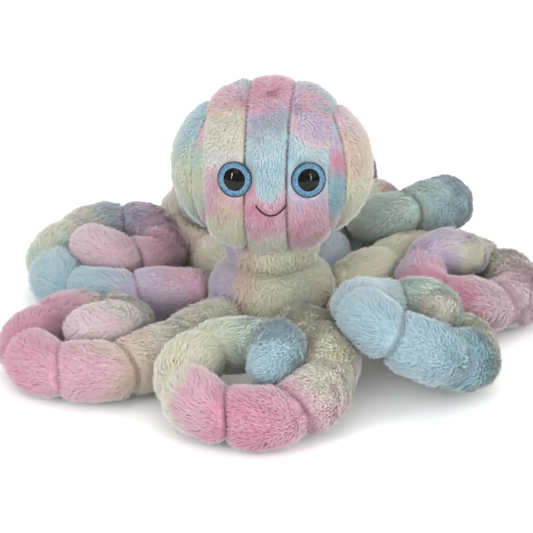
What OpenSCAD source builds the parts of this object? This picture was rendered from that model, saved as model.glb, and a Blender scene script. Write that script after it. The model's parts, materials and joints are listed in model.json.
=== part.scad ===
// Plush octopus with eight curled, stitched arms: stuffed lobes round a small body, a panelled head
// on a soft neck, and a pair of fitted plastic eyes. It faces -Y and stands on its base panel at z = 0.

/* [Head] */
// Half of the head's width
head_rx = 93; // [88:1:98]
// Half of the head's depth and height
head_r = 84; // [80:1:86]
// Height of the head's centre
head_z = 175; // [174:1:185]
// How far the head's centre stands behind the body's
head_back = 6; // [0:1:10]
// How far the head is turned to its own right
head_yaw = 5; // [0:1:12]
// Width of one of the three long strips
strip_w = 41; // [36:1:46]
// How far a head panel swells between its seams
head_puff = 5; // [2:0.5:7]
// Thickness of the cloth with its backing
cloth_t = 3; // [2:0.5:4]

/* [Face] */
// How far the eyes and the smile stand to the left of the middle strip
face_shift = 6; // [0:0.5:7]
// Distance between the two eyes
eye_gap = 67; // [62:1:74]
// Height of the eyes above the head's centre
eye_up = 13; // [8:1:22]
// Outer diameter of an eye
eye_d = 34; // [28:1:36]
// Diameter of the pupil
pupil_d = 22; // [14:1:24]
// How far the clear eye stands proud of the cloth
eye_dome = 7; // [5:0.5:9]
// Width of the stitched smile
smile_w = 28; // [22:1:30]
// How far the smile's corners are below the head's centre
smile_down = 10; // [8:1:20]
// How deep the smile hangs in the middle
smile_sag = 10; // [5:1:12]

/* [Body] */
// Radius of the body under the head
body_r = 60; // [54:1:62]
// Height of the body where the neck sits in it
body_h = 80; // [76:1:82]
// Radius of the neck's stuffed ball
neck_r = 29; // [24:1:30]
// Height of the neck ball's centre
neck_z = 88; // [86:1:90]

/* [Arms] */
// Radius of an arm's thick part
arm_r = 27; // [24:0.5:27.5]
// Radius of an arm's last lobe
tip_r = 19; // [16:0.5:19.5]
// Radius of an arm where it is sewn to the body
root_r = 18; // [14:0.5:19]
// Height of a lying arm's middle line
arm_low = 25; // [24:0.5:28]
// Radius of the coil where it begins
coil_r = 76; // [74:1:78]
// Radius of the coil where it ends
coil_min = 25; // [24:1:27]
// How far the coil turns, in degrees
coil_turn = 425; // [400:5:430]
// How far the inner turn is lifted above the outer one
tip_lift = 24; // [20:1:26]
// How much a seam pinches an arm, as a share of its radius
pinch = 0.16; // [0.05:0.01:0.25]

/* [Arm places: bearing, reach, tilt, uphill bearing, root bearing] */
// Front arm
place_front = [-98, 194, 13, 92, -72]; // [-180:1:280]
// Arm at the front left
place_front_left = [-153, 196, 4, 30, -130]; // [-180:1:280]
// Arm at the left
place_left = [147, 192, 12.5, 58, 172]; // [-180:1:280]
// Arm at the back left
place_back_left = [101, 206, 40, 22, 115]; // [-180:1:280]
// Arm at the back
place_back = [81.8, 285.8, 19.5, 12, 83]; // [-180:1:280]
// Arm at the back right
place_back_right = [51, 214, 28, -55, 53]; // [-180:1:280]
// Arm at the right
place_right = [10, 193, 8, 188, 19]; // [-180:1:280]
// Arm at the front right
place_front_right = [-45, 176, 26, 200, -27]; // [-180:1:280]

/* [Hidden] */

fit_gap = 0.3;                       // air between two soft solids
round_fn = 72;                       // facets of a turned solid
post_r = 3;                          // eye post
washer_r = 12;                       // washer that locks the post
washer_t = 2;
tip_joint = 215;                     // turn of the coil at which the free tip begins
joint_gap = 2.5;                     // cloth left free each side of a bending seam
end_round = 24;                      // length over which a bending lobe rounds off
coil_power = 1.15;                   // how evenly the coil closes in
lift_from = 250;                     // turn at which the inner turn starts to rise
lift_over = 100;                     // and the turn it takes to rise
sides = 14;                          // sides of an arm's ring
lobe_rings = 6;                      // rings along one lobe
root_at = [body_r + 2.5, 42];        // radius and height at which an arm is sewn on
root_dip = 0.15;                     // how steeply an arm leaves the body, downwards
root_grow = 0.42;                    // share of the straight part over which an arm thickens
root_round = 10;                     // length over which an arm's sewn end rounds off
taper_power = 1.6;                   // how late along the coil an arm grows thinner
lobe_power = 0.7;                    // how full a lobe is between its seams
panel_gap = 0.006;                   // gap at a head panel's edge, as a share of the head's size

blue = [0.62, 0.82, 0.88];
mint = [0.78, 0.90, 0.84];
pink = [0.93, 0.70, 0.80];
lilac = [0.84, 0.76, 0.88];
cream = [0.95, 0.92, 0.84];
lemon = [0.93, 0.94, 0.72];

// ---- small helpers ----------------------------------------------------------------------------

function flat(a) = [cos(a), sin(a), 0];
function unit(v) = v / norm(v);
function smooth(x) = let (c = min(1, max(0, x))) c * c * (3 - 2 * c);

// Closes a stack of rings, each a loop of the same number of points, into one solid.
module loft(rings) {
    n = len(rings[0]);
    m = len(rings);
    points = [for (ring = rings) each ring];
    walls = [for (i = [0 : m - 2], k = [0 : n - 1])
        let (a = i * n + k, b = i * n + (k + 1) % n) each [[a, b, b + n], [a, b + n, a + n]]];
    first = [for (k = [n - 1 : -1 : 0]) k];
    last = [for (k = [0 : n - 1]) (m - 1) * n + k];
    polyhedron(points, concat([first], walls, [last]), convexity = 8);
}

// Closes two grids of the same size, one for each face of the cloth, into one curved panel.
module panel(near, far) {
    rows = len(near);
    n = len(near[0]);
    ring = 2 * n;
    points = [for (i = [0 : rows - 1])
        each concat(near[i], [for (k = [n - 1 : -1 : 0]) far[i][k]])];
    walls = [for (i = [0 : rows - 2], k = [0 : ring - 1])
        let (a = i * ring + k, b = i * ring + (k + 1) % ring) each [[a, b, b + ring], [a, b + ring, a + ring]]];
    last = (rows - 1) * ring;
    ends = [for (k = [0 : n - 2])
        let (a = k, b = k + 1, c = ring - 2 - k, d = ring - 1 - k)
        each [[a, c, b], [a, d, c], [last + a, last + b, last + c], [last + a, last + c, last + d]]];
    polyhedron(points, concat(walls, ends), convexity = 8);
}

// ---- arms -------------------------------------------------------------------------------------

function coil_rho(turn) =
    coil_min + (coil_r - coil_min) * pow(max(0, 1 - turn / coil_turn), coil_power);
function coil_centre(a) = a[1] * flat(a[0]) + [0, 0, arm_low + sin(a[2]) * coil_r];
function across(a) = [sin(a[3]), -cos(a[3]), 0];
function uphill(a) = cos(a[2]) * flat(a[3]) + [0, 0, sin(a[2])];
function upright(a) = cross(across(a), uphill(a));
function coil_point(a, turn) =
    let (d = flat(a[0] + 90 - turn))
    coil_centre(a) + coil_rho(turn) * ((d * across(a)) * across(a) + (d * flat(a[3])) * uphill(a))
    + upright(a) * tip_lift * smooth((turn - lift_from) / lift_over);
function coil_way(a, turn) = unit(coil_point(a, turn + 1) - coil_point(a, turn - 1));

// The straight part of an arm, from the body to the coil, as one smooth curve.
function run_point(a, u) =
    let (p = root_at[0] * flat(a[4]) + [0, 0, root_at[1]], q = coil_point(a, 0),
         reach = norm(q - p), p_way = unit(flat(a[4]) - [0, 0, root_dip]) * reach,
         q_way = unit(coil_point(a, 1) - q) * reach)
    (2 * pow(u, 3) - 3 * pow(u, 2) + 1) * p + (pow(u, 3) - 2 * pow(u, 2) + u) * p_way
    + (3 * pow(u, 2) - 2 * pow(u, 3)) * q + (pow(u, 3) - pow(u, 2)) * q_way;

function run_radius(u) = root_r + (arm_r - root_r) * smooth(u / root_grow);
function coil_radius(turn) =
    arm_r - (arm_r - tip_r) * pow(max(0, turn / coil_turn), taper_power);

// Radius share along a row of lobes: x counts lobes, seams fall at whole numbers.
function lobe_share(x) = 1 - pinch * (1 - pow(abs(sin(180 * x)), lobe_power));
// Radius share at a rounded end, d from it.
function end_share(d, over) = sqrt(max(0.02, 1 - pow(1 - min(1, d / over), 2)));

function path_length(path) = [for (i = 0, s = 0; i < len(path);
    i = i + 1, s = s + (i < len(path) ? norm(path[i] - path[i - 1]) : 0)) s];

// One ring of a lobe: round, but pressed flat where it lies on the ground.
function lobe_ring(centre, way, up, r) =
    let (side = unit(cross(way, up)), high = cross(side, way))
    [for (k = [0 : sides - 1])
        let (p = centre + r * (cos(360 * k / sides) * side + sin(360 * k / sides) * high))
        [p[0], p[1], max(0, p[2])]];

// A stuffed tube along a path, with seams every whole lobe and two rounded ends.
module stuffed(path, radii, lobes, up, gaps, rounds) {
    s = path_length(path);
    n = len(path) - 1;
    total = s[n];
    rings = [for (i = [0 : n])
        let (way = unit(path[min(n, i + 1)] - path[max(0, i - 1)]),
             share = lobe_share(lobes * s[i] / total),
             round = end_share(s[i], rounds[0]) * end_share(total - s[i], rounds[1]),
             shift = i == 0 ? gaps[0] : i == n ? -gaps[1] : 0)
        lobe_ring(path[i] + way * shift, way, up, radii[i] * share * round)];
    loft(rings);
}

// Steps along a path of lobes, closer together near the two ends.
function lobe_steps(lobes) =
    let (n = lobes * lobe_rings) concat([0, 0.25 / n], [for (i = [1 : n - 1]) i / n], [1 - 0.25 / n, 1]);

module arm_root(a, tint) {
    steps = lobe_steps(2);
    color(tint) stuffed([for (u = steps) run_point(a, u)], [for (u = steps) run_radius(u)],
        2, upright(a), [0, joint_gap], [root_round, end_round]);
}

module arm_curl(a, tint) {
    turns = [for (u = lobe_steps(4)) u * tip_joint];
    color(tint) stuffed([for (t = turns) coil_point(a, t)], [for (t = turns) coil_radius(t)],
        4, upright(a), [joint_gap, joint_gap], [end_round, end_round]);
}

module arm_tip(a, tint) {
    turns = [for (u = lobe_steps(2)) tip_joint + u * (coil_turn - tip_joint)];
    color(tint) stuffed([for (t = turns) coil_point(a, t)], [for (t = turns) coil_radius(t)],
        2, upright(a), [joint_gap, 0], [end_round, tip_r]);
}

// ---- body and neck ----------------------------------------------------------------------------

module base_panel() {
    color(cream) cylinder(h = cloth_t, r = body_r - 4, $fn = round_fn);
}

// Outline of the body, from the middle of its underside round to the neck.
function body_outline(inset) = [
    [0, cloth_t + fit_gap], [body_r - 6, cloth_t + fit_gap], [body_r, 14],
    [body_r, 50], [body_r - inset, 56], [body_r - inset, 58],
    [body_r - inset - 4, body_h - 12 - inset], [body_r - inset - 15, body_h - 4 - inset],
    [neck_r + 2, body_h - inset], [0, body_h - inset]];

module body_filling() {
    color(cream) difference() {
        rotate_extrude($fn = round_fn) polygon(body_outline(cloth_t + fit_gap));
        neck_space();
    }
}

// The cloth over the top of the body, where head and arms are sewn to it.
module body_collar() {
    color(lemon) difference() {
        rotate_extrude($fn = round_fn) difference() {
            polygon(body_outline(0));
            polygon(concat([[0, 0], [body_r + 1, 0], [body_r + 1, 56]],
                [for (i = [5 : 8]) body_outline(cloth_t)[i]], [[0, body_h - cloth_t]]));
        }
        neck_space();
    }
}

module neck_space() {
    translate([0, head_back, neck_z]) sphere(r = neck_r + 2 * fit_gap, $fn = round_fn);
}

module neck_filling() {
    color(cream) translate([0, head_back, neck_z]) sphere(r = neck_r, $fn = round_fn);
}

// ---- head -------------------------------------------------------------------------------------

// In the head's own frame x runs across, and phi turns about x: 0 forwards, 90 up, 180 back.
strip_x = 1.5 * strip_w;                                   // outer seam of the outer strips
strip_k = sqrt(1 - pow(strip_x / head_rx, 2));             // size of the slice through that seam
neck_phi = 68;                                             // where the strips end at the neck
front_k = 0.55;                                            // gusset's outer edge at mid height
front_phi = 74;                                            // where the gusset runs out

function slice(x) = sqrt(max(0, 1 - pow(x / head_rx, 2)));
function head_base(x, k, phi) = [x, -k * head_r * cos(phi), k * head_r * sin(phi)];
function head_out(p) = unit([p[0] / pow(head_rx, 2), p[1] / pow(head_r, 2), p[2] / pow(head_r, 2)]);
function swell(u) = sqrt(max(0, 1 - pow(u, 2)));
function strip_point(x, phi, h) = let (p = head_base(x, slice(x), phi)) p + head_out(p) * h;
function cap_point(side, k, phi, h) =
    let (p = head_base(side * head_rx * sqrt(max(0, 1 - k * k)), k, phi)) p + head_out(p) * h;
// Outer edge of the side gusset, which is also the front edge of the side panel.
function edge_k(phi) =
    let (f = (phi > 180 ? phi - 360 : phi) / front_phi)
    abs(f) < 1 ? front_k + (strip_k - front_k) * f * f : strip_k;

module in_head() {
    translate([0, head_back, head_z]) rotate([0, 0, -head_yaw]) children();
}

// A long strip from the neck at the front, over the top, to the neck at the back.
module head_strip(middle, tint) {
    half = strip_w / 2 - fit_gap / 2;
    across_n = 6;
    along_n = 22;
    function at(i, j, h, puff) =
        let (u = -1 + 2 * j / across_n, phi = -neck_phi + (180 + 2 * neck_phi) * i / along_n)
        strip_point(middle + u * half, phi, h + puff * swell(u));
    color(tint) panel([for (i = [0 : along_n]) [for (j = [0 : across_n]) at(i, j, -cloth_t, 0)]],
        [for (i = [0 : along_n]) [for (j = [0 : across_n]) at(i, j, 0, head_puff)]]);
}

module face_strip(middle, tint) {
    in_head() difference() {
        head_strip(middle, tint);
        for (side = [-1, 1]) eye_frame(side) eye_seat();
    }
}

// The narrow, sunk panel beside the face.
module head_gusset(side, tint) {
    along_n = 14;
    across_n = 3;
    reach = front_phi - 8;
    function at(i, j, h) =
        let (phi = -reach + 2 * reach * i / along_n, k0 = strip_k - panel_gap, k1 = edge_k(phi) + panel_gap)
        cap_point(side, k0 + (k1 - k0) * j / across_n, phi, h);
    cloth = [for (i = [0 : along_n]) [for (j = [0 : across_n]) at(i, j, 0)]];
    lining = [for (i = [0 : along_n]) [for (j = [0 : across_n]) at(i, j, -cloth_t)]];
    color(tint) in_head() panel(side > 0 ? lining : cloth, side > 0 ? cloth : lining);
}

// The large panel that wraps the side and the back of the head.
module head_side(side, tint) {
    around_n = 32;
    rings_n = 5;
    function edge(i) = edge_k(360 * i / around_n) - panel_gap;
    function at(i, t, h, puff) =
        cap_point(side, edge(i) * t, 360 * i / around_n, h + puff * swell(t * t));
    outer = [for (j = [rings_n : -1 : 1]) [for (i = [0 : around_n - 1]) at(i, j / rings_n, 0, head_puff + 2)]];
    inner = [for (j = [1 : rings_n]) [for (i = [0 : around_n - 1]) at(i, j / rings_n, -cloth_t, 0)]];
    color(tint) in_head() shell_cap(side, outer, inner);
}

// A dished panel: its outer rings, then its inner rings, closed over the middle of both.
module shell_cap(side, outer, inner) {
    n = len(outer[0]);
    m = len(outer);
    points = concat([for (ring = inner) each ring], [for (ring = outer) each ring]);
    walls = [for (i = [0 : 2 * m - 2], k = [0 : n - 1])
        let (a = i * n + k, b = i * n + (k + 1) % n) each [[a, b, b + n], [a, b + n, a + n]]];
    faces = concat([[for (k = [n - 1 : -1 : 0]) k]], walls, [[for (k = [0 : n - 1]) (2 * m - 1) * n + k]]);
    polyhedron(points, side < 0 ? [for (f = faces) [for (i = [len(f) - 1 : -1 : 0]) f[i]]] : faces,
        convexity = 8);
}

module head_filling() {
    inset = cloth_t + fit_gap + 0.6;
    rx = head_rx - inset;
    r = head_r - inset;
    outline = [for (t = [-90 : 7.5 : 90]) [max(0, r * cos(t)), rx * sin(t)]];
    color(cream) difference() {
        in_head() rotate([0, 90, 0]) rotate_extrude($fn = round_fn) polygon(outline);
        neck_space();
        in_head() for (side = [-1, 1]) eye_frame(side) eye_room();
    }
}

// ---- face -------------------------------------------------------------------------------------

eye_r = eye_d / 2;
eye_deep = 3;                         // how deep an eye's rim sits in the pile
room_deep = 12;                       // how far the post reaches into the head

// The frame of an eye: its origin on the cloth, +z out of the face.
module eye_frame(side) {
    x = face_shift + side * eye_gap / 2;
    k = sqrt(1 - pow(x / head_rx, 2) - pow(eye_up / head_r, 2));
    p = [x, -k * head_r, eye_up];
    n = head_out(p);
    translate(p + n * (head_puff - eye_deep)) rotate([0, 0, atan2(n[1], n[0])])
        rotate([0, acos(n[2]), 0]) children();
}

module eye_seat() {
    cylinder(h = 20, r = eye_r + fit_gap, $fn = round_fn);
    translate([0, 0, -20]) cylinder(h = 21, r = post_r + fit_gap, $fn = 32);
}

module eye_room() {
    cylinder(h = 20, r = eye_r + 1, $fn = round_fn);
    translate([0, 0, -room_deep - 1]) cylinder(h = 30, r = post_r + fit_gap, $fn = 32);
    translate([0, 0, -room_deep - 1]) cylinder(h = 8, r = washer_r + fit_gap, $fn = round_fn);
}

// The black moulded back of the eye, with its post.
module eye_post(side) {
    color([0.06, 0.06, 0.07]) in_head() eye_frame(side) {
        translate([0, 0, -room_deep]) cylinder(h = room_deep + 1, r = post_r, $fn = 32);
        cylinder(h = 2, r = eye_r, $fn = round_fn);
    }
}

module eye_iris(side) {
    color([0.45, 0.66, 0.74]) in_head() eye_frame(side) translate([0, 0, 2]) difference() {
        cylinder(h = 0.8, r = eye_r - 1, $fn = round_fn);
        translate([0, 0, -1]) cylinder(h = 3, r = pupil_d / 2, $fn = round_fn);
    }
}

module eye_pupil(side) {
    color([0.03, 0.03, 0.03]) in_head() eye_frame(side) translate([0, 0, 2])
        cylinder(h = 0.8, r = pupil_d / 2, $fn = round_fn);
}

// The clear domed front of the eye.
module eye_lens(side) {
    rim = 2.8;
    rise = eye_dome;
    ball = (eye_r * eye_r + rise * rise) / (2 * rise);
    color([0.75, 0.9, 0.95, 0.4]) in_head() eye_frame(side) {
        translate([0, 0, rim]) rotate_extrude($fn = round_fn)
            polygon(concat([[0, 0]], [for (t = [0 : 8])
                let (x = eye_r * (1 - t / 8)) [x, rise - ball + sqrt(ball * ball - x * x)]]));
        translate([0, 0, 2]) difference() {
            cylinder(h = 0.9, r = eye_r, $fn = round_fn);
            translate([0, 0, -1]) cylinder(h = 3, r = eye_r - 1, $fn = round_fn);
        }
    }
}

module eye_washer(side) {
    color([0.9, 0.9, 0.88]) in_head() eye_frame(side) translate([0, 0, -room_deep + 2]) difference() {
        cylinder(h = washer_t, r = washer_r, $fn = round_fn);
        translate([0, 0, -1]) cylinder(h = washer_t + 2, r = post_r + 0.05, $fn = 32);
    }
}

// A smile of black thread that follows the middle strip.
module smile_stitching() {
    steps = 12;
    thread_r = 0.9;
    function mouth(u) =
        let (x = face_shift + u * smile_w / 2, z = -smile_down - smile_sag * (1 - u * u),
             phi = asin(z / (head_r * slice(x))), half = strip_w / 2)
        strip_point(x, phi, head_puff * swell(0.8 * x / half) + 1.6);
    path = [for (i = [0 : steps]) mouth(-1 + 2 * i / steps)];
    rings = [for (i = [0 : steps])
        let (way = unit(path[min(steps, i + 1)] - path[max(0, i - 1)]),
             side = unit(cross(way, [0, 1, 0])), high = cross(side, way))
        [for (k = [0 : 7]) path[i] + thread_r * (cos(45 * k) * side + sin(45 * k) * high)]];
    color([0.15, 0.12, 0.14]) in_head() loft(rings);
}

// ---- assembly ---------------------------------------------------------------------------------

base_panel();
body_filling();
body_collar();
neck_filling();
head_filling();
face_strip(-strip_w, cream);  // head_strip_left
face_strip(0, lilac);  // head_strip_centre
face_strip(strip_w, pink);  // head_strip_right
head_gusset(-1, mint);  // head_gusset_left
head_gusset(1, blue);  // head_gusset_right
head_side(-1, mint);  // head_side_left
head_side(1, lemon);  // head_side_right
eye_lens(-1);  // eye_lens_left
eye_lens(1);  // eye_lens_right
eye_iris(-1);  // eye_iris_left
eye_iris(1);  // eye_iris_right
eye_pupil(-1);  // eye_pupil_left
eye_pupil(1);  // eye_pupil_right
eye_post(-1);  // eye_post_left
eye_post(1);  // eye_post_right
eye_washer(-1);  // eye_washer_left
eye_washer(1);  // eye_washer_right
smile_stitching();
arm_root(place_front, lemon);  // arm_front_root
arm_curl(place_front, pink);  // arm_front_curl
arm_tip(place_front, mint);  // arm_front_tip
arm_root(place_front_left, pink);  // arm_front_left_root
arm_curl(place_front_left, pink);  // arm_front_left_curl
arm_tip(place_front_left, cream);  // arm_front_left_tip
arm_root(place_left, lilac);  // arm_left_root
arm_curl(place_left, blue);  // arm_left_curl
arm_tip(place_left, pink);  // arm_left_tip
arm_root(place_back_left, lemon);  // arm_back_left_root
arm_curl(place_back_left, pink);  // arm_back_left_curl
arm_tip(place_back_left, lilac);  // arm_back_left_tip
arm_root(place_back, blue);  // arm_back_root
arm_curl(place_back, mint);  // arm_back_curl
arm_tip(place_back, pink);  // arm_back_tip
arm_root(place_back_right, blue);  // arm_back_right_root
arm_curl(place_back_right, pink);  // arm_back_right_curl
arm_tip(place_back_right, blue);  // arm_back_right_tip
arm_root(place_right, lemon);  // arm_right_root
arm_curl(place_right, pink);  // arm_right_curl
arm_tip(place_right, lilac);  // arm_right_tip
arm_root(place_front_right, lemon);  // arm_front_right_root
arm_curl(place_front_right, blue);  // arm_front_right_curl
arm_tip(place_front_right, mint);  // arm_front_right_tip
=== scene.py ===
"""Looks of a plush octopus with eight curled arms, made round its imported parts.

The octopus faces -Y and stands on z = 0. Lengths are millimetres in the part's own frame until a mesh
is made, where they become metres. Angles are degrees unless a name says otherwise.
"""

import json
import logging
import math
from dataclasses import dataclass, field
from enum import Enum

import bpy
import numpy as np
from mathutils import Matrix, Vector


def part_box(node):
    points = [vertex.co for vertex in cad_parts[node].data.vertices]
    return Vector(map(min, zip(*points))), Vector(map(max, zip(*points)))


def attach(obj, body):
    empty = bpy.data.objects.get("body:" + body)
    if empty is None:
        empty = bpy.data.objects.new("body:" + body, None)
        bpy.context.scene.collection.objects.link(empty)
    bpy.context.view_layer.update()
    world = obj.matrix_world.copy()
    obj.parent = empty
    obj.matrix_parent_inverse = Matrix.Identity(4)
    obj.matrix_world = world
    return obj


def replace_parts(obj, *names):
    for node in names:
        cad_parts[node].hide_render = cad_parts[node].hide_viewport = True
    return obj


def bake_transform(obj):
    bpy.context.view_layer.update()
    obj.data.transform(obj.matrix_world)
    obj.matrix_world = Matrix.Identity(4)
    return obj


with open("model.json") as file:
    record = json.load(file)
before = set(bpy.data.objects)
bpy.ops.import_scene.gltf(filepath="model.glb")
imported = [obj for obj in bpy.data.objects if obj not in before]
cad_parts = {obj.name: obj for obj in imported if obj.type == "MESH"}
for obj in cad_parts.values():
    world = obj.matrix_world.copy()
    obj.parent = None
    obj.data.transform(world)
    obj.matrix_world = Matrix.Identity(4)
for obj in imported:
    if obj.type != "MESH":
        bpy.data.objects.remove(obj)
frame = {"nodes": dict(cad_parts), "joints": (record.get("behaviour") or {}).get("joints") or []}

Array = np.ndarray
Dyes = tuple[tuple[float, "Dye"], ...]
MM = 0.001
BAKE_UV = "OFBake"
TUFT_POINTS = 7
LOBES = 8
log = logging.getLogger("octopus")


# ---- colours and shared numbers ------------------------------------------------------------------


class Dye(Enum):
    """Colours of the tie-dyed pile, as display red, green and blue."""

    PINK = (0.925, 0.710, 0.790)
    ROSE = (0.905, 0.590, 0.700)
    PALE_PINK = (0.930, 0.820, 0.855)
    LILAC = (0.845, 0.770, 0.875)
    BLUE = (0.690, 0.835, 0.890)
    TEAL = (0.570, 0.765, 0.815)
    PALE_BLUE = (0.785, 0.880, 0.915)
    GREY_BLUE = (0.700, 0.755, 0.805)
    MINT = (0.790, 0.885, 0.830)
    LIME = (0.880, 0.905, 0.785)
    LEMON = (0.930, 0.915, 0.795)
    CREAM = (0.920, 0.895, 0.820)
    PEACH = (0.925, 0.825, 0.745)
    SAND = (0.865, 0.825, 0.750)
    WHITE = (0.940, 0.935, 0.925)

    def linear(self) -> tuple[float, float, float, float]:
        """The colour as a linear value with full alpha."""
        return to_linear(self.value)


def to_linear(colour: tuple[float, float, float]) -> tuple[float, float, float, float]:
    """Turns a display colour into a linear one.

    Args:
        colour: display red, green and blue, from 0 to 1.

    Returns:
        Linear red, green and blue, and an alpha of 1.
    """
    bent = [c / 12.92 if c <= 0.04045 else ((c + 0.055) / 1.055) ** 2.4 for c in colour]
    return (bent[0], bent[1], bent[2], 1.0)


# ---- vectors and soft noise ----------------------------------------------------------------------


def unit(v: Array) -> Array:
    """Vectors along the last axis, at length one."""
    return v / np.maximum(np.linalg.norm(v, axis=-1, keepdims=True), 1e-9)


def smooth(x: Array) -> Array:
    """An eased step from 0 to 1."""
    c = np.clip(x, 0.0, 1.0)
    return c * c * (3 - 2 * c)


def flat(degrees: float) -> Array:
    """The level direction at that bearing."""
    return np.array([math.cos(math.radians(degrees)), math.sin(math.radians(degrees)), 0.0])


def ripple(points: Array, size: float, seed: int) -> Array:
    """Smooth, repeatable noise from a few crossing waves.

    Args:
        points: points in millimetres, along the last axis.
        size: rough size of a bump in millimetres.
        seed: picks the waves.

    Returns:
        Values of about -1 to 1.
    """
    rng = np.random.default_rng(seed)
    total = np.zeros(points.shape[:-1])
    waves = 6
    for _ in range(waves):
        way = unit(rng.normal(size=3)) * rng.uniform(0.7, 1.5) * math.pi / size
        total += np.sin(points @ way + rng.uniform(0, 2 * math.pi))
    return total / waves * 1.7


# ---- meshes --------------------------------------------------------------------------------------


def new_piece(
    name: str,
    points: Array,
    faces: list[Array],
    values: dict[str, Array] | None = None,
    uvs: Array | None = None,
    normals: Array | None = None,
) -> bpy.types.Object:
    """Makes a mesh object from arrays.

    Args:
        name: name of the piece.
        points: its points in millimetres.
        faces: arrays of point numbers, one array for each number of corners.
        values: numbers or vectors at each point, stored as attributes under these names.
        uvs: a place on the baked map for each point.
        normals: shading normals at each point, where they differ from the mesh's own.

    Returns:
        The new object, linked to the scene.
    """
    mesh = bpy.data.meshes.new(name)
    mesh.vertices.add(len(points))
    mesh.vertices.foreach_set("co", (points * MM).astype(np.float32).ravel())
    corners = np.concatenate([f.ravel() for f in faces]).astype(np.int32)
    counts = np.concatenate([np.full(len(f), f.shape[1]) for f in faces])
    mesh.loops.add(len(corners))
    mesh.loops.foreach_set("vertex_index", corners)
    mesh.polygons.add(len(counts))
    starts = np.concatenate([[0], np.cumsum(counts)[:-1]]).astype(np.int32)
    mesh.polygons.foreach_set("loop_start", starts)
    mesh.polygons.foreach_set("use_smooth", np.ones(len(counts), bool))
    mesh.update(calc_edges=True)
    if uvs is not None:
        layer = mesh.uv_layers.new(name=BAKE_UV)
        layer.data.foreach_set("uv", uvs[corners].astype(np.float32).ravel())
    for key, value in (values or {}).items():
        vector = value.ndim == 2
        attribute = mesh.attributes.new(key, "FLOAT_VECTOR" if vector else "FLOAT", "POINT")
        attribute.data.foreach_set("vector" if vector else "value", value.astype(np.float32).ravel())
    if normals is not None:
        mesh.normals_split_custom_set_from_vertices(normals.tolist())
    piece = bpy.data.objects.new(name, mesh)
    bpy.context.scene.collection.objects.link(piece)
    return piece


def loft_faces(rings: Array) -> tuple[Array, list[Array]]:
    """Closes a stack of rings into a solid, with a point in the middle of each end.

    Args:
        rings: points, ring by ring, each ring closed.

    Returns:
        The points, and the faces with their outsides out.
    """
    rows, n = rings.shape[:2]
    points = np.concatenate([rings.reshape(-1, 3), [rings[0].mean(0)], [rings[-1].mean(0)]])
    k = np.arange(n)
    after = (k + 1) % n
    i = np.arange(rows - 1)[:, None] * n
    quads = np.stack([i + k, i + after, i + n + after, i + n + k], -1).reshape(-1, 4)
    first = np.stack([np.full(n, rows * n), after, k], -1)
    last = np.stack([np.full(n, rows * n + 1), (rows - 1) * n + k, (rows - 1) * n + after], -1)
    p = points
    volume = np.einsum("ij,ij->i", p[quads[:, 0]], np.cross(p[quads[:, 1]], p[quads[:, 2]])).sum()
    volume += np.einsum("ij,ij->i", p[quads[:, 0]], np.cross(p[quads[:, 2]], p[quads[:, 3]])).sum()
    faces = [quads, np.concatenate([first, last])]
    return points, [f[:, ::-1] for f in faces] if volume < 0 else faces


def loft_uvs(rows: int, n: int) -> Array:
    """Places on the baked map for a loft's points, its two end points last."""
    u, v = np.meshgrid(np.linspace(0.01, 0.99, rows), np.arange(n) / n * 0.98 + 0.01, indexing="ij")
    return np.concatenate([np.stack([u, v], -1).reshape(-1, 2), [[0.0, 0.5]], [[1.0, 0.5]]])


def with_ends(values: Array) -> Array:
    """Values on a loft's rings, with one for the point in the middle of each end."""
    tail = values.shape[2:]
    return np.concatenate([values.reshape(-1, *tail), [values[0].mean(0)], [values[-1].mean(0)]])


# ---- cloth and pile ------------------------------------------------------------------------------


@dataclass(frozen=True)
class Pile:
    """The long, soft pile of the plush, and the most tufts that one piece may carry."""

    length: float = 9.0
    width: float = 0.64
    lean: float = 54.0
    density: float = 0.52
    sunk: float = 0.8
    spread: float = 0.30
    clump: float = 0.55
    clump_size: float = 14.0
    floor: float = 0.2
    most: int = 19000


@dataclass
class Cloth:
    """A grid of cloth, and what its dye and its pile need at each point.

    Every grid has the rows first. The values are the place in the dye from 0 to 1, the pile's length
    and density as shares of the full ones, how far it leans as a share, and masks of the short-piled
    sole and of the seams.
    """

    points: Array
    comb: Array
    along: Array
    length: Array
    density: Array
    lean: Array
    sole: Array
    # seam marks where the plush material paints shadow into the valleys along the seams
    seam: Array
    closed: bool = True
    outside: float = 1.0
    normals: Array = field(init=False)

    def __post_init__(self) -> None:
        """Works out which way the cloth faces."""
        p = self.points
        if self.closed:
            across = np.roll(p, -1, 1) - np.roll(p, 1, 1)
        else:
            across = np.gradient(p, axis=1)
        self.normals = unit(np.cross(np.gradient(p, axis=0), across)) * self.outside

    def fields(self) -> Array:
        """Everything that varies over the grid, its first column repeated at the end if it is closed."""
        rows, cols = self.points.shape[:2]
        u, v = np.meshgrid(np.linspace(0.01, 0.99, rows), np.arange(cols) / cols, indexing="ij")
        loose = [self.along, self.length, self.density, self.lean, self.sole, u, v * 0.98 + 0.01]
        whole = np.concatenate([self.points, self.normals, self.comb, np.stack(loose, -1)], -1)
        return np.concatenate([whole, whole[:, :1]], 1) if self.closed else whole

    def part(self, first: int, last: int) -> "Cloth":
        """The same cloth from one row to another, both kept."""
        s = slice(first, last + 1)
        cut = Cloth(
            self.points[s], self.comb[s], self.along[s], self.length[s], self.density[s],
            self.lean[s], self.sole[s], self.seam[s], self.closed, self.outside,
        )
        cut.normals = self.normals[s]
        return cut

    def skin_values(self) -> dict[str, Array]:
        """What the plush material reads from the cloth itself."""
        return {
            "rest": self.points * MM,
            "along": self.along,
            # a tip of 0 gives the bare cloth the painted root shade of the pile
            "tip": np.zeros_like(self.along),
            "shade": np.full_like(self.along, 0.5),
            "sole": self.sole,
            "seam": self.seam,
        }


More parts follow.
